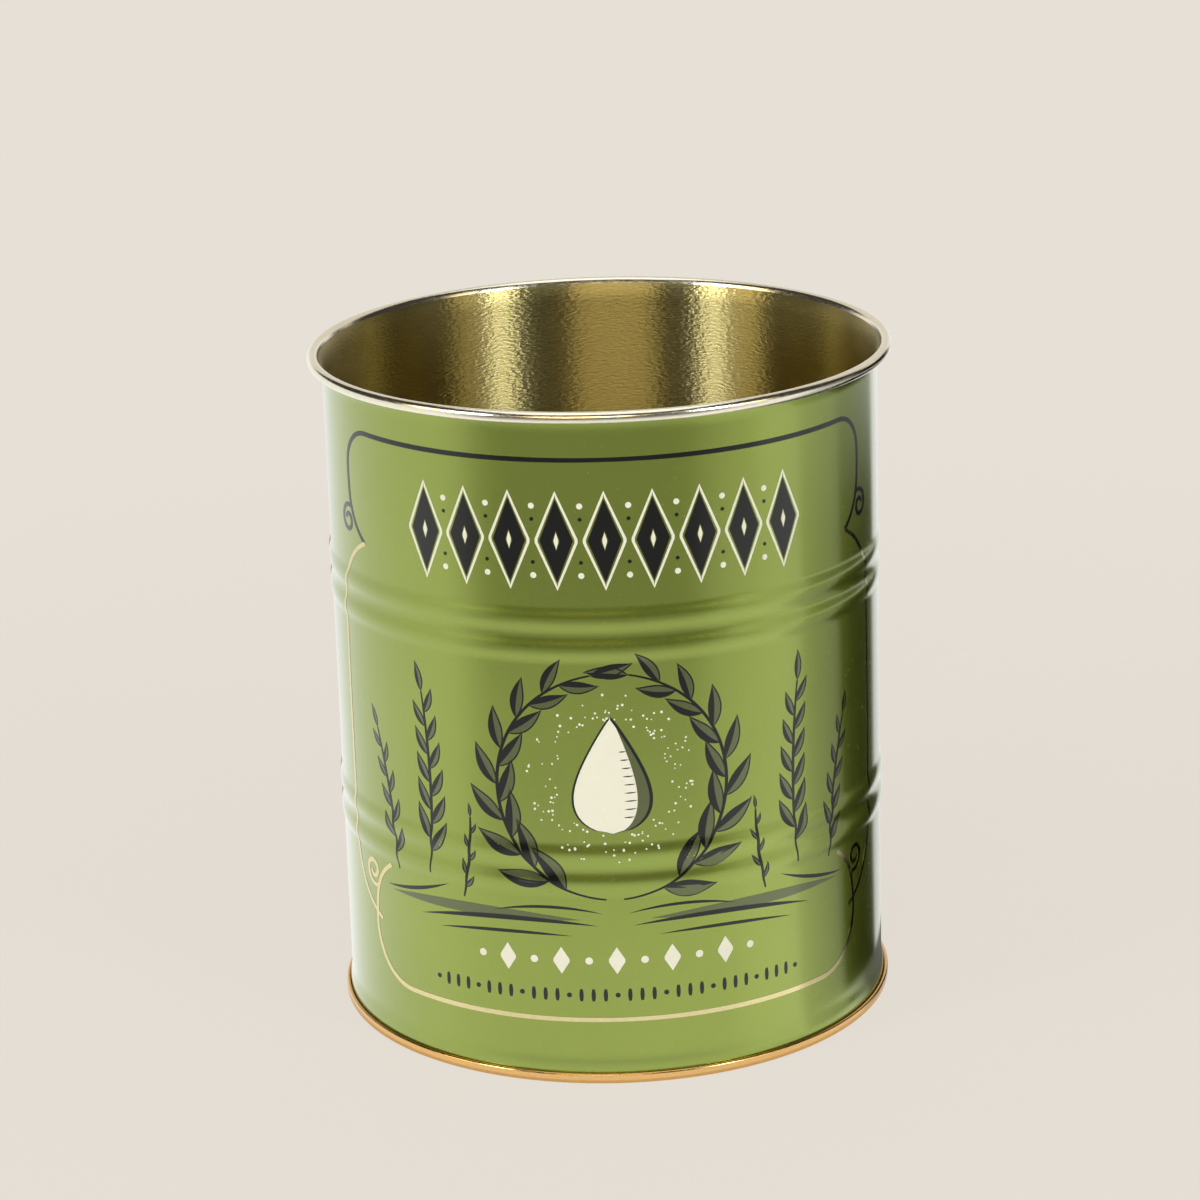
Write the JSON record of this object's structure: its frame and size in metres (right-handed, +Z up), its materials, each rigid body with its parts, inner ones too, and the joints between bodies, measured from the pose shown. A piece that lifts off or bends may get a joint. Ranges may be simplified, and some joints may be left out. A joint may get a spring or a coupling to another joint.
{
  "type": "open round tin",
  "caption": "Open round tinplate tin with raised beads, a flared and curled mouth rim, and a double-seamed recessed base, for holding oil, utensils or a planter liner.",
  "frame": {"origin": "centre of the flat ring that the tin stands on", "axes": "+Z up along the tin's axis, -Y towards the front of the print, side lap near -X"},
  "size_m": [0.137, 0.137, 0.16],
  "materials": {
    "lithographed_tinplate": "gloss varnish over printed ink outside, gold lacquer inside",
    "gold_lacquered_tinplate": "gloss gold lacquer over tinplate",
    "sealing_compound": "matt cured sealing compound"
  },
  "bodies": {
    "root": {"body_wall": "lithographed_tinplate", "bottom_end": "gold_lacquered_tinplate", "seam_compound": "sealing_compound"}
  },
  "joints": []
}
